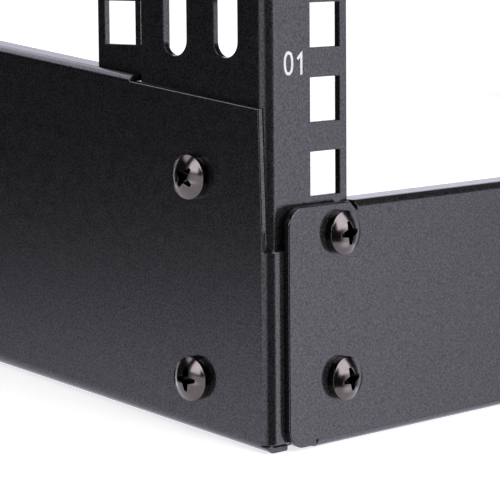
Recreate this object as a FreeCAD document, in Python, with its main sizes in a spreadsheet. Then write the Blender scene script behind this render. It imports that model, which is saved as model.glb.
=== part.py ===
import FreeCAD, Part
import math
import os
import Sketcher

# Two post open frame rack, 19 inch, free standing.
# X runs across the front, Y from front to rear, Z up. Sizes in millimetres.
# The posts lean back on a base of folded sheet steel.
# Origin: on the floor, in the middle of the base.

THICK = 1.5  # sheet thickness
BEND = 2.7  # outer radius of the wide bends, in the posts and side panels
FOLD = 1.8  # outer radius of the tight bends, in the upper edges and cross panels
UNITS = 12  # height of the rack in units
UNIT = 44.45  # one unit
OPENING = 450.85  # clear width between the posts' flanges
HOLE = 9.5  # side of a square hole
HOLE_STEP = 15.875  # from hole to hole inside a unit
HOLE_FIRST = 6.35  # from a unit's lower line to its first hole
HOLE_EDGE = 7.13  # from a hole's middle to the sheet's free edge
TILT = 6.8  # lean of the posts, degrees
FLANGE = 25.5  # width of a post's front flange
WEB = 37.4  # depth of a post's web
RACK_LOW = 52.35  # lower line of the first unit, along the post
HEAD = 52  # post above the last unit
SLOT_WIDE = 6.9  # width of a slot
SLOT_LONG = 32  # length of a slot
SLOT_LOW = 31.4  # from a unit's lower line to its slot
SLOT_GAP = 15  # between the two columns of slots
SLOT_MID = 19.4  # middle of the slots, from the front
STRIP_REAR = 52.4  # rear edge of the strip, from the front
STRIP_LAP = 6.2  # how far the strip laps inside the web
SIDE_LONG = 300  # length of a base side panel
CUT_HIGH = 72.75  # height of its plain top edge
SIDE_HIGH = 74.05  # height over its top fold
SIDE_TOP_FOLD = 7.2  # width of its top flange
SIDE_LOW_FOLD = 13  # width of its bottom flange
FOLD_START = 39.25  # where its top fold begins, along the level of the post
FRONT_SET_BACK = 0.2  # how far its upper front edge stands back
FRONT_FOLD_HIGH = 43.35  # top of its front fold
EAR_HIGH = 50.85  # top of the hidden ear on that fold
EAR_START = 8  # where the ear begins
FOOT_WIDE = 5  # width of the fold's lower step and of the tab below it
SLIT = 0.3  # gap between two folds at the front corner
SCREW_HOLE = 5.5  # diameter of a screw hole
CROSS_END = 3.3  # from the post's side to a cross panel's end
CROSS_ROUND = 4.5  # radius of a cross panel's corners
TOP_FOLD = 7.7  # width of its top fold
LOW_FOLD = 12  # width of its bottom fold
TOP_FOLD_START = 25.4  # from the post's side to the top fold
LOW_FOLD_START = 12.2  # from the post's side to the bottom fold
TOP_CUT_WIDE = 2.5  # width of the sloping cut beside a top fold
TOP_CUT_DEEP = 1.9  # depth of that cut
LOW_LIFT = 0.5  # ends of the lower edge above the bottom fold
TAB_LONG = 2.4  # length of the tab at the front of a side's bottom flange
CUT_MARGIN = 30  # how far a level cut runs past a post, in front and below
CUT_REACH = 120  # how far it runs behind

os.makedirs("parts", exist_ok=True)
doc = FreeCAD.newDocument("rack")
sheet = doc.addObject("Spreadsheet::Sheet", "Sizes")

V = FreeCAD.Vector


class Size:
    """A length or angle: its number now and its formula in the Sizes sheet."""

    def __init__(self, value, text):
        self.value = value
        self.text = text

    def _join(self, other, sign, value):
        return Size(value, "(%s %s %s)" % (self.text, sign, other.text))

    def __add__(self, other):
        other = size(other)
        return self._join(other, "+", self.value + other.value)

    def __sub__(self, other):
        other = size(other)
        return self._join(other, "-", self.value - other.value)

    def __mul__(self, other):
        other = size(other)
        return self._join(other, "*", self.value * other.value)

    def __truediv__(self, other):
        other = size(other)
        return self._join(other, "/", self.value / other.value)

    def __neg__(self):
        return Size(-self.value, "(0 - %s)" % self.text)


def size(number):
    if isinstance(number, Size):
        return number
    return Size(float(number), repr(float(number)))


def sine(angle):
    return Size(math.sin(math.radians(angle.value)), "sin(%s)" % angle.text)


def cosine(angle):
    return Size(math.cos(math.radians(angle.value)), "cos(%s)" % angle.text)


row = 0


def driving(alias, number):
    """Write one driving size in the sheet and give it back as a Size."""
    global row
    row += 1
    sheet.set("A%d" % row, alias)
    sheet.set("B%d" % row, str(number))
    sheet.setAlias("B%d" % row, alias)
    return Size(float(number), "Sizes." + alias)


# sheet steel
thick = driving("thick", THICK)
bend = driving("bend", BEND)
fold = driving("fold", FOLD)

# the 19 inch pattern
units = driving("units", UNITS)
unit = driving("unit", UNIT)
opening = driving("opening", OPENING)
hole = driving("hole", HOLE)
hole_step = driving("hole_step", HOLE_STEP)
hole_first = driving("hole_first", HOLE_FIRST)
hole_edge = driving("hole_edge", HOLE_EDGE)

# posts
tilt = driving("tilt", TILT)
flange = driving("flange", FLANGE)
web = driving("web", WEB)
rack_low = driving("rack_low", RACK_LOW)
head = driving("head", HEAD)
slot_wide = driving("slot_wide", SLOT_WIDE)
slot_long = driving("slot_long", SLOT_LONG)
slot_low = driving("slot_low", SLOT_LOW)
slot_gap = driving("slot_gap", SLOT_GAP)
slot_mid = driving("slot_mid", SLOT_MID)
strip_rear = driving("strip_rear", STRIP_REAR)
strip_lap = driving("strip_lap", STRIP_LAP)

# base side panels
side_long = driving("side_long", SIDE_LONG)
cut_high = driving("cut_high", CUT_HIGH)
side_high = driving("side_high", SIDE_HIGH)
side_top_fold = driving("side_top_fold", SIDE_TOP_FOLD)
side_low_fold = driving("side_low_fold", SIDE_LOW_FOLD)
fold_start = driving("fold_start", FOLD_START)
front_set_back = driving("front_set_back", FRONT_SET_BACK)
front_fold_high = driving("front_fold_high", FRONT_FOLD_HIGH)
ear_high = driving("ear_high", EAR_HIGH)
ear_start = driving("ear_start", EAR_START)
foot_wide = driving("foot_wide", FOOT_WIDE)
slit = driving("slit", SLIT)
screw_hole = driving("screw_hole", SCREW_HOLE)

# cross panels
cross_end = driving("cross_end", CROSS_END)
cross_round = driving("cross_round", CROSS_ROUND)
top_fold = driving("top_fold", TOP_FOLD)
low_fold = driving("low_fold", LOW_FOLD)
top_fold_start = driving("top_fold_start", TOP_FOLD_START)
low_fold_start = driving("low_fold_start", LOW_FOLD_START)
top_cut_wide = driving("top_cut_wide", TOP_CUT_WIDE)
top_cut_deep = driving("top_cut_deep", TOP_CUT_DEEP)
low_lift = driving("low_lift", LOW_LIFT)
tab_long = driving("tab_long", TAB_LONG)

# cuts
cut_margin = driving("cut_margin", CUT_MARGIN)
cut_reach = driving("cut_reach", CUT_REACH)

doc.recompute()

# where the outer corner of the left post stands
post_x = -(opening / 2 + flange)
front_y = (thick * 2 * cosine(tilt) - side_long) / 2
top_unit = rack_low + unit * units
post_long = top_unit + head


def bind(obj, path, value):
    obj.setExpression(path, size(value).text)


def origin_plane(body, role):
    for item in body.Origin.OriginFeatures:
        if item.Role == role:
            return item
    raise ValueError(role)


def new_body(name, x, y, z, lean):
    """A body whose own origin sits at x, y, z, leaning back by the angle lean."""
    body = doc.addObject("PartDesign::Body", name)
    body.Label = name
    body.Placement = FreeCAD.Placement(V(0, 0, 0), FreeCAD.Rotation(V(-1, 0, 0), size(lean).value))
    bind(body, "Placement.Base.x", x)
    bind(body, "Placement.Base.y", y)
    bind(body, "Placement.Base.z", z)
    if size(lean).value:
        bind(body, "Placement.Rotation.Angle", lean)
    return body


def new_sketch(body, name, role, offset=None, turn=None, lean=None, rise=None):
    """A sketch on one of the body's own planes.

    offset moves it along its normal, turn spins it in its plane, lean tips it back
    about the X axis, and rise moves a tipped level sketch up the leaning post.
    """
    sk = body.newObject("Sketcher::SketchObject", name)
    sk.AttachmentSupport = [(origin_plane(body, role), "")]
    sk.MapMode = "FlatFace"
    for angle, axis in ((turn, V(0, 0, 1)), (lean, V(-1, 0, 0))):
        if angle is not None:
            sk.AttachmentOffset = FreeCAD.Placement(V(0, 0, 0), FreeCAD.Rotation(axis, angle.value))
            bind(sk, "AttachmentOffset.Rotation.Angle", angle)
    if rise is not None:
        bind(sk, "AttachmentOffset.Base.y", rise * sine(lean))
        bind(sk, "AttachmentOffset.Base.z", rise * cosine(lean))
    if offset is not None:
        bind(sk, "AttachmentOffset.Base.z", offset)
    return sk


HALF_ROUND = object()


def closed_outline(sk, corners):
    """Corners are (x, y) or (x, y, radius, sweep) where an arc starts towards the next corner.

    sweep is +1 for an arc that turns anticlockwise, -1 for clockwise.
    A radius of HALF_ROUND is a half circle across a level gap.
    """
    count = len(corners)
    first = sk.GeometryCount
    kinds = []
    for i, corner in enumerate(corners):
        after = corners[(i + 1) % count]
        a = V(size(corner[0]).value, size(corner[1]).value, 0)
        b = V(size(after[0]).value, size(after[1]).value, 0)
        if len(corner) == 2:
            sk.addGeometry(Part.LineSegment(a, b), False)
            kinds.append((1, 2))
        else:
            sweep = corner[3]
            chord = b.sub(a)
            half = chord.Length / 2
            radius = half if corner[2] is HALF_ROUND else size(corner[2]).value
            rise = math.sqrt(max(radius * radius - half * half, 0.0))
            normal = V(-chord.y, chord.x, 0).normalize()
            middle = a.add(b).multiply(0.5).add(normal.multiply(rise * sweep))
            start = math.atan2(a.y - middle.y, a.x - middle.x)
            stop = math.atan2(b.y - middle.y, b.x - middle.x)
            circle = Part.Circle(middle, V(0, 0, 1), radius)
            if sweep > 0:
                if stop < start:
                    stop += 2 * math.pi
                sk.addGeometry(Part.ArcOfCircle(circle, start, stop), False)
                kinds.append((1, 2))
            else:
                if start < stop:
                    start += 2 * math.pi
                sk.addGeometry(Part.ArcOfCircle(circle, stop, start), False)
                kinds.append((2, 1))
    for i, corner in enumerate(corners):
        g = first + i
        before = first + (i - 1) % count
        here = kinds[i][0]
        there = kinds[(i - 1) % count][1]
        sk.addConstraint(Sketcher.Constraint("Coincident", before, there, g, here))
        for axis, kind in ((0, "DistanceX"), (1, "DistanceY")):
            value = size(corner[axis])
            if abs(value.value) < 1e-9:
                line = -2 if axis == 0 else -1
                sk.addConstraint(Sketcher.Constraint("PointOnObject", g, here, line))
            elif value.value > 0:
                n = sk.addConstraint(Sketcher.Constraint(kind, -1, 1, g, here, value.value))
                bind(sk, "Constraints[%d]" % n, value)
            else:
                n = sk.addConstraint(Sketcher.Constraint(kind, g, here, -1, 1, -value.value))
                bind(sk, "Constraints[%d]" % n, -value)
        if len(corner) > 2 and corner[2] is HALF_ROUND:
            n = sk.addConstraint(Sketcher.Constraint("DistanceY", -1, 1, g, 3, corner[1].value))
            bind(sk, "Constraints[%d]" % n, corner[1])
        elif len(corner) > 2:
            n = sk.addConstraint(Sketcher.Constraint("Radius", g, size(corner[2]).value))
            bind(sk, "Constraints[%d]" % n, corner[2])


def rectangle(sk, x0, y0, x1, y1):
    closed_outline(sk, [(x0, y0), (x1, y0), (x1, y1), (x0, y1)])


def obround(sk, x0, y0, x1, y1):
    """A slot with round ends, long in y."""
    r = (size(x1) - size(x0)) / 2
    low = size(y0) + r
    high = size(y1) - r
    closed_outline(sk, [(x0, high), (x0, low, HALF_ROUND, 1), (x1, low), (x1, high, HALF_ROUND, 1)])


def pad(body, name, sk, length, both=False, back=False):
    feature = body.newObject("PartDesign::Pad", name)
    feature.Profile = sk
    feature.Length = size(length).value
    bind(feature, "Length", length)
    feature.Midplane = both
    feature.Reversed = back
    sk.Visibility = False
    doc.recompute()
    return feature


def pocket(body, name, sk, length):
    """Cut to both sides of the sketch's plane, and see that it has taken material away."""
    before = body.Shape.Volume
    feature = body.newObject("PartDesign::Pocket", name)
    feature.Profile = sk
    feature.Length = size(length).value
    bind(feature, "Length", length)
    feature.Midplane = True
    doc.recompute()
    if body.Shape.Volume > before - 1:
        raise RuntimeError(name + " cuts nothing")
    return feature


def repeat_up(body, name, feature, step, count):
    """Repeat a pocket up the body's own Z axis."""
    pattern = body.newObject("PartDesign::LinearPattern", name)
    pattern.Originals = [feature]
    pattern.Direction = (origin_plane(body, "Z_Axis"), [""])
    pattern.Length = (step * (count - size(1))).value
    bind(pattern, "Length", step * (count - size(1)))
    pattern.Occurrences = int(count.value)
    bind(pattern, "Occurrences", count)
    body.Tip = pattern
    doc.recompute()
    return pattern


def cut_below(body, name, height, reach):
    """Cut a leaning body off level, at a height above the floor."""
    sk = new_sketch(body, name + "_line", "YZ_Plane", turn=tilt)
    rectangle(sk, -cut_margin, -cut_margin, cut_reach, height)
    return pocket(body, name, sk, reach)


def round_holes(body, name, role, spots, long, offset=None):
    sk = new_sketch(body, name + "_centres", role, offset=offset)
    for x, y in spots:
        n = sk.addGeometry(Part.Circle(V(x.value, y.value, 0), V(0, 0, 1), screw_hole.value / 2), False)
        c = sk.addConstraint(Sketcher.Constraint("Diameter", n, screw_hole.value))
        bind(sk, "Constraints[%d]" % c, screw_hole)
        for value, kind in ((x, "DistanceX"), (y, "DistanceY")):
            if value.value > 0:
                c = sk.addConstraint(Sketcher.Constraint(kind, -1, 1, n, 3, value.value))
                bind(sk, "Constraints[%d]" % c, value)
            else:
                c = sk.addConstraint(Sketcher.Constraint(kind, n, 3, -1, 1, -value.value))
                bind(sk, "Constraints[%d]" % c, -value)
    return pocket(body, name, sk, long)


# heights of the screws, along the post
front_screws = (rack_low + hole_first - unit, rack_low - hole_first)
top_screws = (top_unit + hole_first, top_unit + hole_first + hole_step * 2)
side_screws = (rack_low + hole_first - unit, rack_low + hole_first)
hole_x = flange - hole_edge

# post
post = new_body("post_left", post_x, front_y, size(0), tilt)
section = new_sketch(post, "post_section", "XY_Plane")
closed_outline(section, [
    (size(0), web),
    (size(0), bend, bend, 1),
    (bend, size(0)),
    (flange, size(0)),
    (flange, thick),
    (bend, thick, bend - thick, -1),
    (thick, bend),
    (thick, web),
])
pad(post, "post_sheet", section, post_long)

holes = new_sketch(post, "rack_hole_outlines", "XZ_Plane")
for k in range(3):
    mid = rack_low + hole_first + hole_step * k
    rectangle(holes, hole_x - hole / 2, mid - hole / 2, hole_x + hole / 2, mid + hole / 2)
rack_holes = pocket(post, "rack_holes", holes, thick * 4)
repeat_up(post, "rack_hole_rows", rack_holes, unit, units)

slots = new_sketch(post, "slot_outlines", "YZ_Plane")
for side in (-1, 1):
    mid = slot_mid + slot_gap / 2 * side
    slot_foot = rack_low + slot_low
    obround(slots, mid - slot_wide / 2, slot_foot, mid + slot_wide / 2, slot_foot + slot_long)
web_slots = pocket(post, "web_slots", slots, thick * 4)
repeat_up(post, "slot_rows", web_slots, unit, units)

face_screws = [(hole_x, h) for h in front_screws + top_screws]
round_holes(post, "front_screw_holes", "XZ_Plane", face_screws, thick * 4)
round_holes(post, "side_screw_holes", "YZ_Plane", [(slot_mid, h) for h in side_screws], thick * 4)
cut_below(post, "post_foot", thick, size(80))

# strip with square holes, lapped inside the web behind the slots
strip = new_body("rear_strip_left", post_x, front_y, size(0), tilt)
strip_section = new_sketch(strip, "strip_section", "XY_Plane")
rectangle(strip_section, thick, web - strip_lap, thick * 2, strip_rear)
pad(strip, "strip_sheet", strip_section, post_long - head)
strip_holes = new_sketch(strip, "strip_hole_outlines", "YZ_Plane")
strip_hole_y = strip_rear - hole_edge
for k in range(3):
    mid = rack_low + hole_first + hole_step * k
    rectangle(strip_holes, strip_hole_y - hole / 2, mid - hole / 2, strip_hole_y + hole / 2, mid + hole / 2)
strip_cut = pocket(strip, "strip_holes", strip_holes, thick * 6)
repeat_up(strip, "strip_hole_rows", strip_cut, unit, units)
cut_below(strip, "strip_foot", side_high, size(80))


def leaning(y, s):
    """Turn a place in the leaning frame of the post into level y and z."""
    return y * cosine(tilt) + s * sine(tilt), s * cosine(tilt) - y * sine(tilt)


def fold_outline(sk, face, inward, edge, outward, reach, round_by):
    """The section of a fold: from a sheet whose outer face is at face, round to a flange.

    inward is +1 or -1, the way the flange turns in x, and outward is +1 or -1, the side
    of edge on which nothing lies, in y. reach is the flange's width over all, and
    round_by the outer radius of the bend.
    """
    turn = -inward * outward
    closed_outline(sk, [
        (face, edge - round_by * outward, round_by, turn),
        (face + round_by * inward, edge),
        (face + reach * inward, edge),
        (face + reach * inward, edge - thick * outward),
        (face + round_by * inward, edge - thick * outward, round_by - thick, -turn),
        (face + thick * inward, edge - round_by * outward),
    ])


# base side panel, in the left post's place
side = new_body("base_side_left", post_x, front_y, size(0), size(0))
set_back = bend - thick
low_line = (bend + set_back * sine(tilt)) / cosine(tilt)
cut_line = (cut_high + set_back * sine(tilt)) / cosine(tilt)
fold_y = fold_start / cosine(tilt) + side_high * sine(tilt)
side_web = new_sketch(side, "side_web_outline", "YZ_Plane", offset=-thick)
closed_outline(side_web, [
    leaning(set_back, low_line),
    (side_long - bend, bend),
    (side_long - bend, side_high - fold),
    (fold_y, side_high - fold),
    (fold_y, cut_high),
    leaning(set_back, cut_line),
    leaning(front_set_back, front_fold_high),
    leaning(set_back, front_fold_high),
])
pad(side, "side_web", side_web, thick)

top_flange = new_sketch(side, "side_top_fold", "XZ_Plane", offset=-side_long)
fold_outline(top_flange, -thick, 1, side_high, 1, side_top_fold, fold)
pad(side, "side_top_flange", top_flange, side_long - fold_y)

low_flange = new_sketch(side, "side_low_fold", "XZ_Plane", offset=-side_long)
fold_outline(low_flange, -thick, 1, size(0), -1, side_low_fold, bend)
tab_start = tab_long - thick * 0.4
pad(side, "side_low_flange", low_flange, side_long - tab_start)
tab = new_sketch(side, "side_tab_fold", "XZ_Plane", offset=-tab_start)
fold_outline(tab, -thick, 1, size(0), -1, foot_wide + thick, bend)
pad(side, "side_tab", tab, tab_long)

corner = new_sketch(side, "front_fold_section", "XY_Plane", lean=tilt, rise=thick + slit)
closed_outline(corner, [
    (-thick, set_back, bend, 1),
    (set_back, -thick),
    (set_back, size(0), bend - thick, -1),
    (size(0), set_back),
])
pad(side, "front_fold", corner, front_fold_high - thick - slit)

face = new_sketch(side, "front_flange_outline", "XZ_Plane", lean=tilt)
closed_outline(face, [
    (set_back, thick + slit),
    (foot_wide, thick + slit),
    (foot_wide, bend + slit * 2),
    (flange, bend + slit * 2),
    (flange, ear_high),
    (ear_start, ear_high),
    (ear_start, front_fold_high),
    (set_back, front_fold_high),
])
pad(side, "front_flange", face, thick)

rear_flange = new_sketch(side, "side_rear_fold", "XY_Plane", offset=bend)
fold_outline(rear_flange, -thick, 1, side_long, 1, flange + thick, bend)
pad(side, "side_rear_flange", rear_flange, ear_high - bend)

screw_places = []
for h in side_screws:
    screw_places.append(leaning(slot_mid, h))
round_holes(side, "side_panel_screw_holes", "YZ_Plane", screw_places, thick * 4)


def plate_outline(sk, wide, low, high, low_start, low_line, top_start, top_line):
    """A cross panel's plate, with rounded ends and a narrow slit beside each fold.

    Folds begin low_start and top_start from the middle; the plate stops at low_line and
    top_line where a fold takes over. Past a top fold the edge slopes up to the plate's
    full height, and past a bottom fold it stays a little above the fold.
    """
    r = cross_round
    foot = low + low_lift
    half_outline = [
        (low_start, low_line),
        (low_start + slit, low_line),
        (low_start + slit, foot),
        (wide - r, foot, r, 1),
        (wide, foot + r),
        (wide, high - r, r, 1),
        (wide - r, high),
        (top_start + top_cut_wide, high),
        (top_start + slit, high - top_cut_deep),
        (top_start + slit, top_line),
        (top_start, top_line),
    ]
    other_half = [
        (-top_start, top_line),
        (-(top_start + slit), top_line),
        (-(top_start + slit), high - top_cut_deep),
        (-(top_start + top_cut_wide), high),
        (-(wide - r), high, r, 1),
        (-wide, high - r),
        (-wide, foot + r, r, 1),
        (-(wide - r), foot),
        (-(low_start + slit), foot),
        (-(low_start + slit), low_line),
        (-low_start, low_line),
    ]
    closed_outline(sk, half_outline + other_half)


half = opening / 2 + flange
cross_wide = half - cross_end
fold_top = half - top_fold_start
fold_low = half - low_fold_start

# front cross panel, over the side panels' front flanges
front = new_body("front_cross_panel", size(0), front_y, size(0), tilt)
outer = -(thick * 2)
low_centre = (fold + (outer + fold) * sine(tilt)) / cosine(tilt)
front_plate = new_sketch(front, "front_plate_outline", "XZ_Plane", offset=thick)
front_bend = rack_low - fold
plate_outline(front_plate, cross_wide, size(0), rack_low, fold_low, low_centre, fold_top, front_bend)
pad(front, "front_plate", front_plate, thick)
front_top = new_sketch(front, "front_top_fold", "YZ_Plane")
fold_outline(front_top, outer, 1, rack_low, 1, top_fold, fold)
pad(front, "front_top_flange", front_top, fold_top * 2, both=True)

# its lower flange lies flat on the floor, so it is folded by the tilt more than square
front_low = new_sketch(front, "front_low_fold", "YZ_Plane")
centre_y = outer + fold
level_y = cosine(tilt)
level_s = sine(tilt)
reach = low_fold - fold
inner = fold - thick
closed_outline(front_low, [
    (outer, low_centre, fold, 1),
    (centre_y + fold * level_s, low_centre - fold * level_y),
    (centre_y + fold * level_s + reach * level_y, low_centre - fold * level_y + reach * level_s),
    (centre_y + inner * level_s + reach * level_y, low_centre - inner * level_y + reach * level_s),
    (centre_y + inner * level_s, low_centre - inner * level_y, inner, -1),
    (outer + thick, low_centre),
])
pad(front, "front_low_flange", front_low, fold_low * 2, both=True)
cross_holes = [(half - hole_x, h) for h in front_screws] + [(hole_x - half, h) for h in front_screws]
round_holes(front, "front_panel_screw_holes", "XZ_Plane", cross_holes, thick * 8)

# top cross panel, straight on the posts
top = new_body("top_cross_panel", size(0), front_y, size(0), tilt)
top_plate = new_sketch(top, "top_plate_outline", "XZ_Plane")
top_bends = (top_unit + fold, post_long - fold)
plate_outline(top_plate, cross_wide, top_unit, post_long, fold_top, top_bends[0], fold_top, top_bends[1])
pad(top, "top_plate", top_plate, thick)
for edge, outward, name in ((post_long, 1, "top_upper"), (top_unit, -1, "top_lower")):
    section = new_sketch(top, name + "_fold", "YZ_Plane")
    fold_outline(section, -thick, 1, edge, outward, top_fold, fold)
    pad(top, name + "_flange", section, fold_top * 2, both=True)
cross_holes = [(half - hole_x, h) for h in top_screws] + [(hole_x - half, h) for h in top_screws]
round_holes(top, "top_panel_screw_holes", "XZ_Plane", cross_holes, thick * 8)


def mirrored(source, name):
    item = doc.addObject("Part::Mirroring", name)
    item.Label = name
    item.Source = source
    item.Base = V(0, 0, 0)
    item.Normal = V(1, 0, 0)
    return item


post_right = mirrored(post, "post_right")
strip_right = mirrored(strip, "rear_strip_right")
side_right = mirrored(side, "base_side_right")

doc.recompute()

nodes = [post, post_right, strip, strip_right, side, side_right, front, top]
for item in doc.Objects:
    if "Invalid" in item.State or "Error" in item.State:
        raise RuntimeError(item.Name + " has a fault")
for item in nodes:
    shape = item.Shape
    if shape.isNull() or not shape.isValid() or len(shape.Solids) != 1:
        raise RuntimeError(item.Label + " is not one sound solid")
    shape.exportStep("parts/%s.step" % item.Label)
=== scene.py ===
import math

import bmesh
import bpy
from mathutils import Matrix, Vector, geometry


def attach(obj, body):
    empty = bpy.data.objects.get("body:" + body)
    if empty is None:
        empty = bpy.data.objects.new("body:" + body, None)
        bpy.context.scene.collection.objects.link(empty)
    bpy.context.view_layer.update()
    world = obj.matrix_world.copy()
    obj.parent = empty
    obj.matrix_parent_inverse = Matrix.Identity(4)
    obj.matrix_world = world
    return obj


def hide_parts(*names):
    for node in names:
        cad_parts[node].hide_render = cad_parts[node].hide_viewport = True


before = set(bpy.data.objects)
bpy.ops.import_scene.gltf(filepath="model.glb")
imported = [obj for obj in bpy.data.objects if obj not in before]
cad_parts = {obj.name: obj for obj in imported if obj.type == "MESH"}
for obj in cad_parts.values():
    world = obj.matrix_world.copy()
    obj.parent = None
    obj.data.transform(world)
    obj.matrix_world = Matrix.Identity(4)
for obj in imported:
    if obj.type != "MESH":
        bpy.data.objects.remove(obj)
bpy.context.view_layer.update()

# Sizes in millimetres, named as in the part's source.
MM = 0.001
THICK = 1.5  # sheet thickness
BEND = 2.7  # outer radius of the wide bends
FOLD = 1.8  # outer radius of the tight bends
UNITS = 12
UNIT = 44.45
OPENING = 450.85  # clear width between the posts' flanges
HOLE = 9.5
HOLE_STEP = 15.875
HOLE_FIRST = 6.35
HOLE_EDGE = 7.13
UNIT_HOLES = 3  # square holes in a unit
FLANGE = 25.5
WEB = 37.4
RACK_LOW = 52.35  # lower line of the first unit
HEAD = 52.0  # post above the last unit
TOP_UNIT = RACK_LOW + UNIT * UNITS
POST_LONG = TOP_UNIT + HEAD
SLOT_WIDE = 6.9
SLOT_LONG = 32.0
SLOT_LOW = 31.4
SLOT_GAP = 15.0
SLOT_MID = 19.4
STRIP_REAR = 52.4
STRIP_LAP = 6.2
SIDE_LONG = 300.0
CUT_HIGH = 72.75
SIDE_HIGH = 74.05
SIDE_TOP_FOLD = 7.2
SIDE_LOW_FOLD = 13.0
FOLD_START = 39.25
FRONT_SET_BACK = 0.2
FRONT_FOLD_HIGH = 43.35
EAR_HIGH = 50.85
EAR_START = 8.0
FOOT_WIDE = 5.0
SLIT = 0.3
CROSS_END = 3.3
CROSS_ROUND = 4.5
TOP_FOLD = 7.7
LOW_FOLD = 12.0
TOP_FOLD_START = 25.4
LOW_FOLD_START = 12.2
TOP_CUT_WIDE = 2.5
TOP_CUT_DEEP = 1.9
LOW_LIFT = 0.5
TAB_LONG = 2.4

# Sizes of the scene alone.
RIM = 0.32  # easing of a sheet's outer edge
HOLE_RIM = 0.15  # easing of a hole's edge
STRIP_TONGUE = 6.0  # how far the strip runs down behind the side panel
STRIP_HOOK = 3.6  # width of its hook under the panel's top fold
STRIP_CLEAR = 0.2  # air round the hook

TILT = math.radians(6.8)  # lean of the posts
COS, SIN = math.cos(TILT), math.sin(TILT)
HALF = OPENING / 2 + FLANGE
POST_X = -HALF
FRONT_Y = (2 * THICK * COS - SIDE_LONG) / 2
FRONT_FACE = -2 * THICK  # outer side of the front cross panel
HOLE_X = FLANGE - HOLE_EDGE
QUARTER = math.pi / 2
ARC = BEND * QUARTER
ROUND = FOLD * QUARTER
CORE = BEND - THICK

LEAN_X = Vector((1, 0, 0))
LEAN_Y = Vector((0, COS, -SIN))
LEAN_S = Vector((0, SIN, COS))
LEVEL = (Vector((1, 0, 0)), Vector((0, 1, 0)), Vector((0, 0, 1)))
ON_LINE = 1e-5  # nearer than this a point counts as on the cutting line
SHEET_MITRE = 0.2  # keeps the mitre of a sharp corner short


def lean_point(x, y, s):
    """A place given in the left post's frame: x and y across it, s along it."""
    return Vector((POST_X + x, FRONT_Y, 0)) + LEAN_Y * y + LEAN_S * s


def level_point(x, y, z):
    """A place given from the left post's foot, with z upright."""
    return Vector((POST_X + x, FRONT_Y + y, z))


# flat blanks

def arc(cx, cy, r, start, end, steps=12):
    """Points on an arc, in degrees, with both ends; the last value of a point says that it is smooth."""
    points = []
    for i in range(steps + 1):
        a = math.radians(start + (end - start) * i / steps)
        points.append((cx + r * math.cos(a), cy + r * math.sin(a), True))
    return points


def sharp(points):
    return [(u, v, False) for u, v in points]


def box_hole(cx, cy):
    a = HOLE / 2
    return sharp([(cx - a, cy - a), (cx - a, cy + a), (cx + a, cy + a), (cx + a, cy - a)])


def slot_hole(cx, low):
    r = SLOT_WIDE / 2
    return arc(cx, low + SLOT_LONG - r, r, 180, 0, 16) + arc(cx, low + r, r, 0, -180, 16)


def loop_frames(loop):
    """For each point: inward mitre, and the outward normals of the edges before and after."""
    n = len(loop)
    edges = []
    for i in range(n):
        a, b = loop[i], loop[(i + 1) % n]
        d = Vector((b[0] - a[0], b[1] - a[1]))
        d.normalize()
        edges.append(Vector((d.y, -d.x)))
    out = []
    for i in range(n):
        before, after = edges[i - 1], edges[i]
        mitre = -(before + after) / max(SHEET_MITRE, 1 + before.dot(after))
        if loop[i][2]:
            mean = (before + after).normalized()
            out.append((mitre, mean, mean))
        else:
            out.append((mitre, before, after))
    return out


def rim_profile(rim):
    """Rows of a rounded rim: inset, depth, and the normal sideways and in depth."""
    c = math.cos(math.pi / 4)
    short = rim * (1 - c)
    return [
        (rim, 0.0, 0.0, -1.0), (short, short, c, -c), (0.0, rim, 1.0, 0.0),
        (0.0, THICK - rim, 1.0, 0.0), (short, THICK - short, c, c), (rim, THICK, 0.0, 1.0),
    ]


def blank(outline, holes):
    """Vertices and polygons of a flat sheet with eased rims; each polygon corner has a normal."""
    verts, polys, flats = [], [], []
    for loop in [outline] + holes:
        profile = rim_profile(RIM if loop is outline else HOLE_RIM)
        frames = loop_frames(loop)
        n = len(loop)
        first = len(verts)
        for inset, w, _, _ in profile:
            for (u, v, _), (mitre, _, _) in zip(loop, frames):
                verts.append((u + mitre.x * inset, v + mitre.y * inset, w))
        for k in range(len(profile) - 1):
            for i in range(n):
                j = (i + 1) % n
                row_a, row_b = first + k * n, first + (k + 1) * n
                ids = [row_a + i, row_a + j, row_b + j, row_b + i]
                a, b = frames[i][2], frames[j][1]
                normals = []
                for side, row in ((a, k), (b, k), (b, k + 1), (a, k + 1)):
                    _, _, lateral, depth = profile[row]
                    normals.append((side.x * lateral, side.y * lateral, depth))
                polys.append((ids, normals))
        flats.append((first, n))
    for row, depth in ((0, -1.0), (len(profile) - 1, 1.0)):
        ids, points, edges = [], [], []
        for first, n in flats:
            start = len(ids)
            for i in range(n):
                ids.append(first + row * n + i)
                points.append(Vector(verts[ids[-1]][:2]))
                edges.append((start + i, start + (i + 1) % n))
        _, _, faces, origin, _, _ = geometry.delaunay_2d_cdt(points, edges, [], 1, 1e-6)
        loops = []
        at = 0
        for _, n in flats:
            loops.append([tuple(p) for p in points[at:at + n]])
            at += n
        for face in faces:
            real = [origin[i][0] for i in face]
            mid = sum((points[i] for i in real), Vector((0, 0))) / len(real)
            if not inside(mid, loops[0]) or any(inside(mid, hole) for hole in loops[1:]):
                continue
            polys.append(([ids[i] for i in real], [(0.0, 0.0, depth)] * len(real)))
    return verts, polys


def inside(p, loop):
    """Whether a point is inside a closed loop."""
    hit = False
    j = len(loop) - 1
    for i in range(len(loop)):
        (ax, ay), (bx, by) = loop[i], loop[j]
        if (ay > p.y) != (by > p.y) and p.x < (bx - ax) * (p.y - ay) / (by - ay) + ax:
            hit = not hit
        j = i
    return hit


def between(p, q, t):
    return tuple(p[m] + (q[m] - p[m]) * t for m in range(3))


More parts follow.
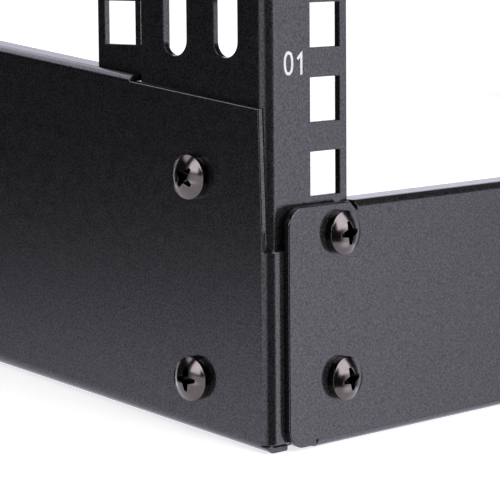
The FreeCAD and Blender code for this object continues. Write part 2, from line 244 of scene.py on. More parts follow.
def cut(mesh, a, b, c):
    """Split the polygons along the line a*u + b*v = c."""
    verts, polys = mesh
    side = [a * v[0] + b * v[1] - c for v in verts]
    made, out = {}, []
    for ids, normals in polys:
        signs = [0 if abs(side[i]) < ON_LINE else (1 if side[i] > 0 else -1) for i in ids]
        if not (1 in signs and -1 in signs):
            out.append((ids, normals))
            continue
        parts = ([], [])
        for k in range(len(ids)):
            i, j = ids[k], ids[(k + 1) % len(ids)]
            si, sj = signs[k], signs[(k + 1) % len(ids)]
            if si >= 0:
                parts[0].append((i, normals[k]))
            if si <= 0:
                parts[1].append((i, normals[k]))
            if si * sj < 0:
                key = (min(i, j), max(i, j))
                t = side[i] / (side[i] - side[j])
                if key not in made:
                    made[key] = len(verts)
                    verts.append(between(verts[i], verts[j], t))
                    side.append(0.0)
                mid = between(normals[k], normals[(k + 1) % len(ids)], t)
                parts[0].append((made[key], mid))
                parts[1].append((made[key], mid))
        for part in parts:
            if len(part) > 2:
                out.append(([p[0] for p in part], [p[1] for p in part]))
    return verts, out


def cuts(mesh, a, b, start, angle=QUARTER, steps=10, radius=BEND):
    """Split along the lines of a bend that starts at a*u + b*v = start."""
    for i in range(steps + 1):
        mesh = cut(mesh, a, b, start + radius * angle * i / steps)
    return mesh


def fold(origin, e, f, g, d, w, along, angle=QUARTER, radius=BEND):
    """Where a point of the blank goes past a bend, and the turned directions of e, g and w.

    The bend starts at origin. e leads into it, f is the side that it turns to and g runs along it.
    The point is d past the start, w deep in the sheet from its outer side, and along beside the origin.
    """
    if d <= 0:
        turn, pe, pf = 0.0, d, w
    else:
        turn = min(d / radius, angle)
        rest = d - radius * turn
        pe = (radius - w) * math.sin(turn) + rest * math.cos(turn)
        pf = radius - (radius - w) * math.cos(turn) + rest * math.sin(turn)
    c, s = math.cos(turn), math.sin(turn)
    return origin + e * pe + f * pf + g * along, e * c + f * s, g, f * c - e * s


def sheet_mesh(name, mesh, place, mirror=False):
    """Fold a blank and turn it into a mesh with its corner normals kept."""
    verts, polys = mesh
    placed = [place(*v) for v in verts]
    flip = Vector((-1, 1, 1)) if mirror else Vector((1, 1, 1))
    points = [(p[0] * flip) * MM for p in placed]
    faces, corner = [], []
    for ids, normals in polys:
        turned = []
        for i, n in zip(ids, normals):
            _, du, dv, dw = placed[i]
            m = (du * n[0] + dv * n[1] + dw * n[2]) * flip
            turned.append(m.normalized())
        area = Vector((0, 0, 0))
        for k in range(1, len(ids) - 1):
            area += (points[ids[k]] - points[ids[0]]).cross(points[ids[k + 1]] - points[ids[0]])
        if area.dot(sum(turned, Vector((0, 0, 0)))) < 0:
            ids, turned = ids[::-1], turned[::-1]
        faces.append(ids)
        corner.extend(turned)
    data = bpy.data.meshes.new(name)
    data.from_pydata(points, [], faces)
    data.polygons.foreach_set("use_smooth", [True] * len(faces))
    data.normals_split_custom_set([tuple(n) for n in corner])
    data.update()
    return data


def in_scene(name, data):
    obj = bpy.data.objects.new(name, data)
    bpy.context.scene.collection.objects.link(obj)
    return obj


def add_shell(node_name, mesh, place, mirror, material):
    """A folded sheet that shows in place of the solid of its name."""
    name = node_name + "_shell"
    data = sheet_mesh(name, mesh, place, mirror)
    data.materials.append(material)
    obj = in_scene(name, data)
    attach(obj, "root")
    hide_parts(node_name)


def add_pair(name, mesh, place, material):
    """The left sheet and its mirror image."""
    for label, mirror in (("left", False), ("right", True)):
        add_shell("%s_%s" % (name, label), mesh, place, mirror, material)


# materials

def node(tree, kind, inputs=None, **values):
    """A shader node with its properties and its input values set."""
    made = tree.nodes.new(kind)
    for key, value in values.items():
        setattr(made, key, value)
    for key, value in (inputs or {}).items():
        made.inputs[key].default_value = value
    return made


def new_material(name):
    mat = bpy.data.materials.new(name)
    mat.use_nodes = True
    return mat, mat.node_tree, mat.node_tree.nodes["Principled BSDF"]


def noise(tree, scale, detail, roughness=0.5):
    """Noise in the object's own coordinates."""
    coords = node(tree, "ShaderNodeTexCoord")
    made = node(tree, "ShaderNodeTexNoise", {"Scale": scale, "Detail": detail, "Roughness": roughness})
    tree.links.new(coords.outputs["Object"], made.inputs["Vector"])
    return made.outputs["Fac"]


def shades(tree, factor, dark, pale, low=0.0, high=1.0):
    """A colour that goes from dark to pale while the factor goes from low to high."""
    made = node(tree, "ShaderNodeValToRGB")
    for stop, position, colour in zip(made.color_ramp.elements, (low, high), (dark, pale)):
        stop.position = position
        stop.color = (*colour, 1)
    tree.links.new(factor, made.inputs["Fac"])
    return made.outputs["Color"]


def spread(tree, factor, low, high, least, most):
    """A number that goes from least to most while the factor goes from low to high."""
    made = node(tree, "ShaderNodeMapRange", {"From Min": low, "From Max": high, "To Min": least, "To Max": most})
    tree.links.new(factor, made.inputs["Value"])
    return made.outputs["Result"]


COAT = (0.0165, 0.0160, 0.0175)
COAT_DARK = tuple(c * 0.6 for c in COAT)
COAT_PALE = tuple(c * 1.8 for c in COAT)
NICKEL_DARK, NICKEL_PALE = (0.068, 0.060, 0.055), (0.110, 0.097, 0.088)
# painted shade: the screws' cross recess is coloured far darker than the nickel, as if in shadow
RECESS_SHADE_DARK, RECESS_SHADE_PALE = (0.004, 0.004, 0.004), (0.012, 0.011, 0.011)
INK_DARK, INK_PALE = (0.96, 0.96, 0.96), (1.0, 1.0, 1.0)


def powder_coat(name):
    """Black powder coat: a fine grain in colour, shine and relief, and a slower change in roughness."""
    mat, tree, shader = new_material(name)
    grain = noise(tree, scale=2400, detail=3, roughness=0.6)
    cloud = noise(tree, scale=420, detail=2)
    bump = node(tree, "ShaderNodeBump", {"Strength": 0.2, "Distance": 0.00006})
    colour = shades(tree, grain, COAT_DARK, COAT_PALE, low=0.41, high=0.59)
    shine = spread(tree, grain, low=0.38, high=0.62, least=0.36, most=0.64)
    roughness = spread(tree, cloud, low=0.3, high=0.7, least=0.11, most=0.17)
    tree.links.new(grain, bump.inputs["Height"])
    tree.links.new(colour, shader.inputs["Base Color"])
    tree.links.new(shine, shader.inputs["Specular IOR Level"])
    tree.links.new(roughness, shader.inputs["Roughness"])
    tree.links.new(bump.outputs["Normal"], shader.inputs["Normal"])
    return mat


def plated(name, dark, pale):
    """Black nickel, a little uneven. With the recess colours it becomes painted shade instead: the nickel darkened as
    if the recess lay in shadow.
    """
    mat, tree, shader = new_material(name)
    shader.inputs["Metallic"].default_value = 1.0
    stain = noise(tree, scale=700, detail=4)
    roughness = spread(tree, stain, low=0.0, high=1.0, least=0.10, most=0.20)
    tree.links.new(shades(tree, stain, dark, pale), shader.inputs["Base Color"])
    tree.links.new(roughness, shader.inputs["Roughness"])
    return mat


def ink(name):
    """White printing ink."""
    mat, tree, shader = new_material(name)
    shader.inputs["Roughness"].default_value = 0.55
    stain = noise(tree, scale=2500, detail=2)
    tree.links.new(shades(tree, stain, INK_DARK, INK_PALE), shader.inputs["Base Color"])
    return mat


post_paint = powder_coat("post_powder_coat")
base_paint = powder_coat("base_powder_coat")
nickel = plated("black_nickel", NICKEL_DARK, NICKEL_PALE)
# painted shade for the screws' recess, made as a darker nickel
recess = plated("recess_painted_shade", RECESS_SHADE_DARK, RECESS_SHADE_PALE)
white_ink = ink("white_ink")


# posts

WEB_FLAT = WEB - BEND  # flat part of a post's web
POST_BEND_STEPS = 12


def post_foot(y):
    """Where the post's level lower end is along it."""
    return (THICK + y * SIN) / COS


def post_blank():
    """Flat pattern of a post, from the web's rear edge to the flange's free edge."""
    flange_start = WEB_FLAT + ARC
    end = flange_start + FLANGE - BEND
    outline = [(0.0, post_foot(WEB))]
    for i in range(POST_BEND_STEPS + 1):
        turn = QUARTER * i / POST_BEND_STEPS
        y = BEND - BEND * math.sin(turn)
        outline.append((WEB_FLAT + BEND * turn, max(post_foot(y), post_foot(THICK))))
    outline += [(end, post_foot(THICK)), (end, POST_LONG), (0.0, POST_LONG)]
    holes = []
    for n in range(UNITS):
        low = RACK_LOW + UNIT * n
        for k in range(UNIT_HOLES):
            holes.append(box_hole(flange_start + HOLE_X - BEND, low + HOLE_FIRST + HOLE_STEP * k))
        for side in (-1, 1):
            holes.append(slot_hole(WEB - (SLOT_MID + SLOT_GAP / 2 * side), low + SLOT_LOW))
    return cuts(blank(sharp(outline), holes), 1, 0, WEB_FLAT, steps=POST_BEND_STEPS)


def post_place(u, v, w):
    return fold(lean_point(0, BEND, 0), -LEAN_Y, LEAN_X, LEAN_S, u - WEB_FLAT, w, v)


add_pair("post", post_blank(), post_place, post_paint)


# strips inside the posts

def strip_foot(y):
    """Where the strip stands on the level top of the side panel."""
    return (SIDE_HIGH + y * SIN) / COS


def strip_blank():
    """The strip's outline in y and s, with a tongue and a hook that the side panel hides."""
    start = WEB - STRIP_LAP
    tongue = FOLD_START - STRIP_CLEAR
    hook = tongue + STRIP_HOOK
    under = (THICK + STRIP_CLEAR) / COS
    outline = [
        (start, strip_foot(start) - STRIP_TONGUE), (hook, strip_foot(hook) - STRIP_TONGUE),
        (hook, strip_foot(hook) - under), (tongue, strip_foot(tongue) - under), (tongue, strip_foot(tongue)),
        (STRIP_REAR, strip_foot(STRIP_REAR)), (STRIP_REAR, TOP_UNIT), (start, TOP_UNIT),
    ]
    holes = []
    for n in range(UNITS):
        for k in range(UNIT_HOLES):
            mid = RACK_LOW + UNIT * n + HOLE_FIRST + HOLE_STEP * k
            if mid > strip_foot(STRIP_REAR) + HOLE:
                holes.append(box_hole(STRIP_REAR - HOLE_EDGE, mid))
    return blank(sharp(outline), holes)


def strip_place(u, v, w):
    return lean_point(THICK + w, u, v), LEAN_Y, LEAN_S, LEAN_X


add_pair("rear_strip", strip_blank(), strip_place, post_paint)


# base side panels

def flat_level(p, q):
    """A place in leaning y and s as level y and z."""
    return p * COS + q * SIN, q * COS - p * SIN


FOLD_Y = FOLD_START / COS + SIDE_HIGH * SIN
LOW_FLAP = ARC + SIDE_LOW_FOLD - BEND
TOP_FLAP = ROUND + SIDE_TOP_FOLD - FOLD
EAR = ARC + FLANGE - CORE
EAR_ROOT = 2 * CORE - ARC  # flat place, in leaning y, of what folds to x = 0
EASE = 0.01  # keeps points on an edge on the fold's side
FRONT_EASE = 0.05  # the same at the top of the front fold
TAB_START = TAB_LONG - THICK * 0.4
TAB_FLAP = ARC + FOOT_WIDE + THICK - BEND
TAB_FRONT = TAB_START - TAB_LONG
SLIT_ROOT = (1.405, 1.456)  # inner end of the slit, just past the start of the front bend
SLIT_MID = THICK + SLIT / 2


def side_blank():
    """Flat pattern of a side panel in level y and z; its front fold leans with the post."""
    front = flat_level(CORE, (CUT_HIGH + CORE * SIN) / COS)
    low_foot, low_top = THICK + SLIT, BEND + SLIT * 2
    ear_front, foot_front = EAR_ROOT - EAR_START, EAR_ROOT - FOOT_WIDE
    rear, rear_ear = SIDE_LONG - BEND, SIDE_LONG - BEND + EAR
    top = SIDE_HIGH - FOLD
    outline = [
        (TAB_START, BEND - LOW_FLAP), (SIDE_LONG, BEND - LOW_FLAP), (SIDE_LONG, BEND),
        (rear, BEND), (rear, BEND + SLIT), (rear_ear, BEND + SLIT), (rear_ear, EAR_HIGH), (rear, EAR_HIGH),
        (rear, top), (SIDE_LONG, top), (SIDE_LONG, top + TOP_FLAP), (FOLD_Y, top + TOP_FLAP), (FOLD_Y, CUT_HIGH),
        front, flat_level(FRONT_SET_BACK, FRONT_FOLD_HIGH), flat_level(ear_front, FRONT_FOLD_HIGH),
        flat_level(ear_front, EAR_HIGH), flat_level(CORE - EAR, EAR_HIGH), flat_level(CORE - EAR, low_top),
        flat_level(foot_front, low_top), flat_level(foot_front, low_foot), flat_level(CORE, low_foot),
        SLIT_ROOT, (TAB_FRONT, SLIT_ROOT[1]), (TAB_FRONT, BEND - TAB_FLAP), (TAB_START, BEND - TAB_FLAP),
    ]
    mesh = blank(sharp(outline), [])
    mesh = cuts(mesh, -COS, SIN, -CORE)
    mesh = cuts(mesh, 0, -1, -BEND)
    mesh = cuts(mesh, 0, 1, top, radius=FOLD)
    return cuts(mesh, 1, 0, rear)


def side_place(u, v, w):
    p, q = u * COS - v * SIN, u * SIN + v * COS
    x, y, z = LEVEL
    in_front = (p < CORE and q < FRONT_FOLD_HIGH + FRONT_EASE) or p < CORE - ARC
    if in_front and q > SLIT_MID:
        at, du, dv, dw = fold(lean_point(-THICK, CORE, 0), -LEAN_Y, LEAN_X, LEAN_S, CORE - p, w, q)
        return at, -du * COS + dv * SIN, du * SIN + dv * COS, dw
    if v < BEND:
        at, du, dv, dw = fold(level_point(-THICK, 0, BEND), -z, x, y, BEND - v, w, u)
        return at, dv, -du, dw
    top = SIDE_HIGH - FOLD
    if v > top and u > FOLD_Y - EASE:
        at, du, dv, dw = fold(level_point(-THICK, 0, top), z, x, y, v - top, w, u, radius=FOLD)
        return at, dv, du, dw
    rear = SIDE_LONG - BEND
    if u > rear:
        return fold(level_point(-THICK, rear, 0), y, x, z, u - rear, w, v)
    return level_point(w - THICK, u, v), y, z, x


add_pair("base_side", side_blank(), side_place, base_paint)


# cross panels

CROSS_WIDE = HALF - CROSS_END
FOLD_TOP = HALF - TOP_FOLD_START
FOLD_LOW = HALF - LOW_FOLD_START


def cross_panel(name, face, low, high, low_start, low_line, low_long, low_angle=QUARTER):
    """A cross panel with two folds, placed on the leaning posts.

    face is y of its outer side, low and high are its edges along the posts. Its lower fold spans
    low_start to either side of the middle, begins at low_line and is low_long on its outer side.
    """
    r, foot = CROSS_ROUND, low + LOW_LIFT
    low_end = low_line - FOLD * low_angle - low_long + FOLD
    top_line = high - FOLD
    top_end = top_line + ROUND + TOP_FOLD - FOLD
    half = sharp([(low_start, low_end), (low_start, low_line),
                  (low_start + SLIT, low_line), (low_start + SLIT, foot)])
    half += arc(CROSS_WIDE - r, foot + r, r, -90, 0)
    half += arc(CROSS_WIDE - r, high - r, r, 0, 90)
    half += sharp([(FOLD_TOP + TOP_CUT_WIDE, high), (FOLD_TOP + SLIT, high - TOP_CUT_DEEP),
                   (FOLD_TOP + SLIT, top_line), (FOLD_TOP, top_line), (FOLD_TOP, top_end)])
    mesh = blank(half + [(-u, v, smooth) for u, v, smooth in reversed(half)], [])
    mesh = cuts(mesh, 0, 1, top_line, radius=FOLD)
    mesh = cuts(mesh, 0, -1, -low_line, low_angle, radius=FOLD)
    at = Vector((0, FRONT_Y, 0)) + LEAN_Y * face
    x, y, s = LEAN_X, LEAN_Y, LEAN_S

    def place(u, v, w):
        if v > top_line and abs(u) < FOLD_TOP + SLIT / 2:
            point, dv, du, dw = fold(at + s * top_line, s, y, x, v - top_line, w, u, radius=FOLD)
            return point, du, dv, dw
        if v < low_line and abs(u) < low_start + SLIT / 2:
            point, dv, du, dw = fold(at + s * low_line, -s, y, x, low_line - v, w, u, low_angle, FOLD)
            return point, du, -dv, dw
        return at + x * u + s * v + y * w, x, s, y

    add_shell(name, mesh, place, False, base_paint)


cross_panel("front_cross_panel", FRONT_FACE, 0, RACK_LOW, FOLD_LOW, (FOLD + (FRONT_FACE + FOLD) * SIN) / COS,
            LOW_FOLD, QUARTER + TILT)
cross_panel("top_cross_panel", -THICK, TOP_UNIT, POST_LONG, FOLD_TOP, TOP_UNIT + FOLD, TOP_FOLD)


# screws

HEAD_R = 4.8
SKIRT = 1.75  # height of the head's upright side
DOME = 3.15  # height of the head
SHOULDER = 0.16
FOOT_EASE = 0.12
FACE_R = HEAD_R - SHOULDER
CAP_R = (FACE_R ** 2 + (DOME - SKIRT) ** 2) / (2 * (DOME - SKIRT))
SKY = DOME + 0.6  # top of the tools that cut the recess
BLADE = (  # height, length, and width at the tip and in the middle, all as halves but the height
    (SKY, 3.05, 0.46, 1.15),
    (DOME - 0.9, 2.35, 0.36, 0.95),
    (DOME - 2.3, 0.55, 0.20, 0.42),
)
CONE = ((0.0, DOME - 2.6), (0.45, DOME - 2.3), (1.05, DOME - 1.0), (1.35, SKY), (0.0, SKY))
RECESS_R = HEAD_R * 0.65
RECESS_DEEP = 0.12
SHANK_R = 2.35
SHANK_IN = 0.05  # how far the shank reaches into the head
THREAD_STEP = 0.8
THREAD = ((2.08, 0.25), (2.08, 0.35), (2.46, 0.78), (2.46, 0.86))  # radius, and share of a step
THREAD_END = ((2.0, 0.15), (1.75, 0.45), (0.0, 0.45))  # radius, and length past the last step
NUT_HIGH, NUT_FLAT, NUT_EASE = 4.0, 4.0, (0.3, 0.25)
PAST_NUT = 2.4
HEAD_STEPS, CONE_STEPS, SHANK_STEPS = 96, 32, 40  # steps of a full turn
MERGE = 0.002  # points nearer than this become one after the cut
EDGE_TURN = 38  # edges of the head that turn by more than this, in degrees, are eased
EDGE_EASE = 0.07
HEAD_CORNER, SHANK_CORNER = 42, 30  # edges that turn by more than this stay sharp
OTHER_TURN = 33  # how far a screw on the right is turned against the left one


def revolve(bm, profile, steps):
    """Turn a profile of (radius, height) about Z."""
    rings = []
    for r, z in profile:
        if r == 0:
            rings.append([bm.verts.new((0, 0, z))])
        else:
            turns = [2 * math.pi * i / steps for i in range(steps)]
            rings.append([bm.verts.new((r * math.cos(a), r * math.sin(a), z)) for a in turns])
    for a, b in zip(rings, rings[1:]):
        for i in range(steps):
            j = (i + 1) % steps
            if len(a) == 1:
                bm.faces.new((a[0], b[i], b[j]))
            elif len(b) == 1:
                bm.faces.new((a[i], a[j], b[0]))
            else:
                bm.faces.new((a[i], a[j], b[j], b[i]))


def tube(bm, rings):
    """Join rings of as many corners each, and close both ends."""
    for a, b in zip(rings, rings[1:]):
        for i in range(len(a)):
            j = (i + 1) % len(a)
            bm.faces.new((a[j], a[i], b[i], b[j]))
    bm.faces.new(rings[0])
    bm.faces.new(rings[-1][::-1])


def crown(r):
    """Height of the shallow dome at a radius."""
    return DOME - CAP_R + math.sqrt(CAP_R ** 2 - min(r, HEAD_R) ** 2)


def head_profile():
    """Half section of a pan head: upright skirt, tight shoulder, shallow dome."""
    low = SKIRT - SHOULDER
    points = [(0.0, 0.0), (HEAD_R - FOOT_EASE, 0.0), (HEAD_R, FOOT_EASE), (HEAD_R, SKIRT * 0.5), (HEAD_R, low)]
    tilt = math.asin(FACE_R / CAP_R)
    for i in range(1, 5):
        a = (QUARTER - tilt) * i / 5
        points.append((FACE_R + SHOULDER * math.cos(a), low + SHOULDER * math.sin(a)))
    steps = 20
    for i in range(steps + 1):
        r = FACE_R * (1 - i / steps)
        points.append((r, crown(r)))
    return points


def solid_object(bm, name):
    """A closed form as an object, for cutting."""
    bmesh.ops.recalc_face_normals(bm, faces=bm.faces)
    data = bpy.data.meshes.new(name)
    bm.to_mesh(data)
    bm.free()
    return in_scene(name, data)


def turned_object(profile, steps, name):
    bm = bmesh.new()
    revolve(bm, profile, steps)
    return solid_object(bm, name)


def blades_object():
    """The two crossed blades of a recess, widest in the middle."""
    bm = bmesh.new()
    for turn in (0, QUARTER):
        m = Matrix.Rotation(turn, 4, "Z")
        rings = []
        for z, length, tip, waist in BLADE:
            corners = ((-length, -tip), (0, -waist), (length, -tip), (length, tip), (0, waist), (-length, tip))
            rings.append([bm.verts.new(m @ Vector((x, y, z))) for x, y in corners])
        tube(bm, rings)
    return solid_object(bm, "blades")


def in_recess(face):
    mid = face.calc_center_median()
    r = math.hypot(mid.x, mid.y)
    return mid.z > FOOT_EASE and r < RECESS_R and mid.z < crown(r) - RECESS_DEEP


def finished(bm, name, corner):
    """The mesh in metres, smooth but for corners sharper than this angle."""
    for face in bm.faces:
        face.smooth = True
    for vert in bm.verts:
        vert.co *= MM
    data = bpy.data.meshes.new(name)
    bm.to_mesh(data)
    bm.free()
    data.set_sharp_from_angle(angle=math.radians(corner))
    return data


def head_mesh():
    """Pan head with a cross recess and eased edges; the recess faces get the painted-shade material."""
    head = turned_object(head_profile(), HEAD_STEPS, "head")
    tools = (blades_object(), turned_object(CONE, CONE_STEPS, "cone"))
    for tool in tools:
        mod = head.modifiers.new("recess", "BOOLEAN")
        mod.operation = "DIFFERENCE"
        mod.solver = "EXACT"
        mod.use_self = True
        mod.object = tool
    bm = bmesh.new()
    bm.from_mesh(head.evaluated_get(bpy.context.evaluated_depsgraph_get()).data)
    for obj in (head, *tools):
        bpy.data.objects.remove(obj)
    bmesh.ops.remove_doubles(bm, verts=bm.verts, dist=MERGE)
    edges = [e for e in bm.edges if len(e.link_faces) == 2 and e.calc_face_angle(0) > math.radians(EDGE_TURN)]
    bmesh.ops.bevel(bm, geom=edges, offset=EDGE_EASE, segments=2, profile=0.6, affect="EDGES", clamp_overlap=True)
    # faces in the recess take the painted-shade material
    for face in bm.faces:
        face.material_index = 1 if in_recess(face) else 0
    data = finished(bm, "pan_head", HEAD_CORNER)
    data.materials.append(nickel)
    data.materials.append(recess)
    return data


def shank_mesh(grip):
    """Threaded shank with a nut, behind panels of this total thickness."""
    bm = bmesh.new()
    points = [(0.0, SHANK_IN), (SHANK_R, SHANK_IN), (SHANK_R, -grip)]
    count = int((NUT_HIGH + PAST_NUT) / THREAD_STEP)
    for i in range(count):
        z = -grip - THREAD_STEP * i
        points += [(r, z - THREAD_STEP * share) for r, share in THREAD]
    end = -grip - THREAD_STEP * count
    points += [(r, end - past) for r, past in THREAD_END]
    revolve(bm, points, SHANK_STEPS)
    deep, back = NUT_EASE
    rings = []
    for depth, inset in ((0, back), (deep, 0), (NUT_HIGH - deep, 0), (NUT_HIGH, back)):
        r = (NUT_FLAT - inset) / math.cos(math.radians(30))
        turns = [math.radians(60 * k + 30) for k in range(6)]
        rings.append([bm.verts.new((r * math.cos(a), r * math.sin(a), -grip - depth)) for a in turns])
    tube(bm, rings)
    bmesh.ops.recalc_face_normals(bm, faces=bm.faces)
    data = finished(bm, "shank_%d" % round(grip * 10), SHANK_CORNER)
    data.materials.append(nickel)
    return data


pan_head = head_mesh()
shanks = {layers: shank_mesh(THICK * layers) for layers in (3, 2)}


def screw(name, at, out, layers, turn):
    """A screw through so many sheets, with its seat at a point and its axis out of the panel."""
    z = out.normalized()
    up = LEAN_S if abs(z.dot(LEAN_S)) < 0.5 else LEAN_Y
    x = up.cross(z).normalized()
    m = Matrix((x, z.cross(x), z)).transposed().to_4x4()
    m = Matrix.Translation(at * MM) @ m @ Matrix.Rotation(math.radians(turn), 4, "Z")
    for label, data in (("head", pan_head), ("shank", shanks[layers])):
        obj = in_scene("%s_%s" % (name, label), data)
        obj.matrix_world = m
        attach(obj, "root")


def both_sides(name, at, out, layers, turn):
    """A screw on the left and one opposite, turned to another angle."""
    flip = Vector((-1, 1, 1))
    screw(name + "_left", at, out, layers, turn)
    screw(name + "_right", at * flip, out * flip, layers, turn + OTHER_TURN)


# The heads stand where the photo shows them, a little off the middle of their holes.
UNDER_RACK = RACK_LOW + HOLE_FIRST - UNIT
for label, x, s, turn in (("low", 20.15, UNDER_RACK - 0.1, 12), ("high", 19.65, RACK_LOW - HOLE_FIRST - 0.05, 8)):
    both_sides("front_screw_" + label, lean_point(x, FRONT_FACE, s), -LEAN_Y, 3, turn)
for label, y, s, turn in (("low", 20.45, UNDER_RACK, -2), ("high", 20.45, RACK_LOW + HOLE_FIRST - 0.6, 48)):
    both_sides("side_screw_" + label, lean_point(-THICK, y, s), -LEAN_X, 2, turn)
for label, s, turn in (("low", TOP_UNIT + HOLE_FIRST, 25), ("high", TOP_UNIT + HOLE_FIRST + HOLE_STEP * 2, 61)):
    both_sides("top_screw_" + label, lean_point(HOLE_X, -THICK, s), -LEAN_Y, 2, turn)


# printed unit numbers

STROKE = 0.68
DIGIT_WIDE = 2.32
DIGIT_HIGH = 4.4
DIGIT_X = 5.58  # left edge of the first digit
DIGIT_STEP = 3.75
DIGIT_DROP = 0.35  # how far the second digit sits below the first
NUMBER_MID = 30.3  # middle of a number above its unit's lower line
INK_LIFT = 0.025
SAME_POINT = 0.02  # points of a stroke nearer than this are one
RING_GAP = 0.05  # a stroke whose ends are nearer than this is a ring
RING_POINTS = 8  # if it has more points than this
STROKE_MITRE = 0.35  # keeps the mitre of a sharp joint short


def curve(points, steps=8):
    """A smooth line through a few points."""
    out = []
    n = len(points)
    for i in range(n - 1):
        p0, p1 = Vector(points[max(0, i - 1)]), Vector(points[i])
        p2, p3 = Vector(points[i + 1]), Vector(points[min(n - 1, i + 2)])
        for k in range(steps):
            t = k / steps
            out.append(0.5 * ((2 * p1) + (p2 - p0) * t + (2 * p0 - 5 * p1 + 4 * p2 - p3) * t * t
                              + (3 * p1 - p0 - 3 * p2 + p3) * t ** 3))
    out.append(Vector(points[-1]))
    return out


def oval(cx, cy, rx, ry, start=0, end=360, steps=40, power=1.0):
    """An oval from one angle to another; a power under 1 makes it squarer."""
    out = []
    for i in range(steps + 1):
        a = math.radians(start + (end - start) * i / steps)
        c, s = math.cos(a), math.sin(a)
        wide, high = math.copysign(abs(c) ** power, c), math.copysign(abs(s) ** power, s)
        out.append(Vector((cx + rx * wide, cy + ry * high)))
    return out


def line(*points):
    return [Vector(p) for p in points]


W, H = DIGIT_WIDE, DIGIT_HIGH
DIGITS = {
    "0": [oval(W / 2, H / 2, W / 2, H / 2, power=0.85)],
    "1": [line((W * 0.08, H * 0.76), (W * 0.62, H), (W * 0.62, 0))],
    "2": [curve([(0.05, H * 0.74), (W * 0.2, H * 0.95), (W * 0.52, H), (W * 0.9, H * 0.88), (W, H * 0.68),
                 (W * 0.8, H * 0.42), (0.1, 0.05)]) + line((0.1, 0), (W, 0))],
    "3": [curve([(0.05, H * 0.8), (W * 0.25, H * 0.97), (W * 0.6, H), (W * 0.93, H * 0.85), (W * 0.88, H * 0.62),
                 (W * 0.45, H * 0.53)]) + curve([(W * 0.46, H * 0.53), (W * 0.92, H * 0.42), (W, H * 0.2),
                                                 (W * 0.7, 0.02), (W * 0.35, 0), (0, H * 0.18)])],
    "4": [line((W, H * 0.3), (0, H * 0.3), (W * 0.72, H), (W * 0.72, 0))],
    "5": [line((W * 0.9, H), (W * 0.16, H), (W * 0.08, H * 0.55))
          + curve([(W * 0.1, H * 0.56), (W * 0.5, H * 0.63), (W * 0.93, H * 0.5), (W, H * 0.28), (W * 0.75, 0.06),
                   (W * 0.35, 0), (0, H * 0.14)])],
    "6": [curve([(W * 0.92, H * 0.84), (W * 0.62, H), (W * 0.25, H * 0.86), (0.02, H * 0.5), (0.02, H * 0.3)])
          + oval(W / 2, H * 0.3, W / 2 - 0.02, H * 0.3, 180, 540)],
    "7": [line((0, H), (W, H)) + curve([(W, H), (W * 0.62, H * 0.55), (W * 0.42, 0)])],
    "8": [oval(W / 2, H * 0.77, W * 0.43, H * 0.23, -90, 270) + oval(W / 2, H * 0.27, W * 0.5, H * 0.27, 90, 450)],
    "9": [curve([(W * 0.08, H * 0.16), (W * 0.38, 0), (W * 0.75, H * 0.14), (W * 0.98, H * 0.5), (W * 0.98, H * 0.7)])
          + oval(W / 2, H * 0.7, W / 2 - 0.02, H * 0.3, 0, 360)],
}


def ribbon(bm, points, place):
    """A printed stroke along a line, with mitred joints."""
    clean = [points[0]]
    for p in points[1:]:
        if (p - clean[-1]).length > SAME_POINT:
            clean.append(p)
    closed = (clean[0] - clean[-1]).length < RING_GAP and len(clean) > RING_POINTS
    if closed:
        clean.pop()
    n = len(clean)
    pairs = []
    for i in range(n):
        before = clean[i] - clean[i - 1] if closed or i else clean[1] - clean[0]
        after = clean[(i + 1) % n] - clean[i] if closed or i < n - 1 else clean[-1] - clean[-2]
        a, b = before.normalized(), after.normalized()
        na, nb = Vector((-a.y, a.x)), Vector((-b.y, b.x))
        m = (na + nb) / max(STROKE_MITRE, 1 + na.dot(nb)) * STROKE / 2
        pairs.append((clean[i] + m, clean[i] - m))
    rows = [[bm.verts.new(place(p)) for p in pair] for pair in pairs]
    for i in range(n if closed else n - 1):
        a, b = rows[i], rows[(i + 1) % n]
        bm.faces.new((a[0], a[1], b[1], b[0]))


def unit_numbers(name, right):
    """The numbers 01 to 12 on a post; on the right they have the mirrored place but read as on the left."""
    middle = DIGIT_X + (DIGIT_WIDE + DIGIT_STEP) / 2
    bm = bmesh.new()
    for n in range(UNITS):
        foot = RACK_LOW + UNIT * n + NUMBER_MID - DIGIT_HIGH / 2
        for k, char in enumerate("%02d" % (n + 1)):

            def place(p, k=k):
                x = DIGIT_X + k * DIGIT_STEP + p.x
                at = lean_point(2 * middle - x if right else x, -INK_LIFT, foot + (-DIGIT_DROP * k + p.y))
                if right:
                    at.x = -at.x
                return at * MM

            for stroke in DIGITS[char]:
                ribbon(bm, stroke, place)
    bmesh.ops.recalc_face_normals(bm, faces=bm.faces)
    for face in bm.faces:
        if face.normal.y > 0:
            face.normal_flip()
    data = bpy.data.meshes.new(name)
    bm.to_mesh(data)
    bm.free()
    data.materials.append(white_ink)
    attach(in_scene(name, data), "root")


unit_numbers("unit_numbers_left", False)
unit_numbers("unit_numbers_right", True)


# floor and light

FLOOR_SIZE = 30.0
FLOOR_GLOW = 0.72  # lifts the floor to white for the camera alone, and leaves the shadow on it
GLOSS_TINT = (0.98, 0.97, 1.13, 1)
GLOSS_REST = 0.04  # what gloss sees between the fields
AMBIENT = 0.12  # what matt surfaces get from the studio's walls
WHITE = (1, 1, 1, 1)

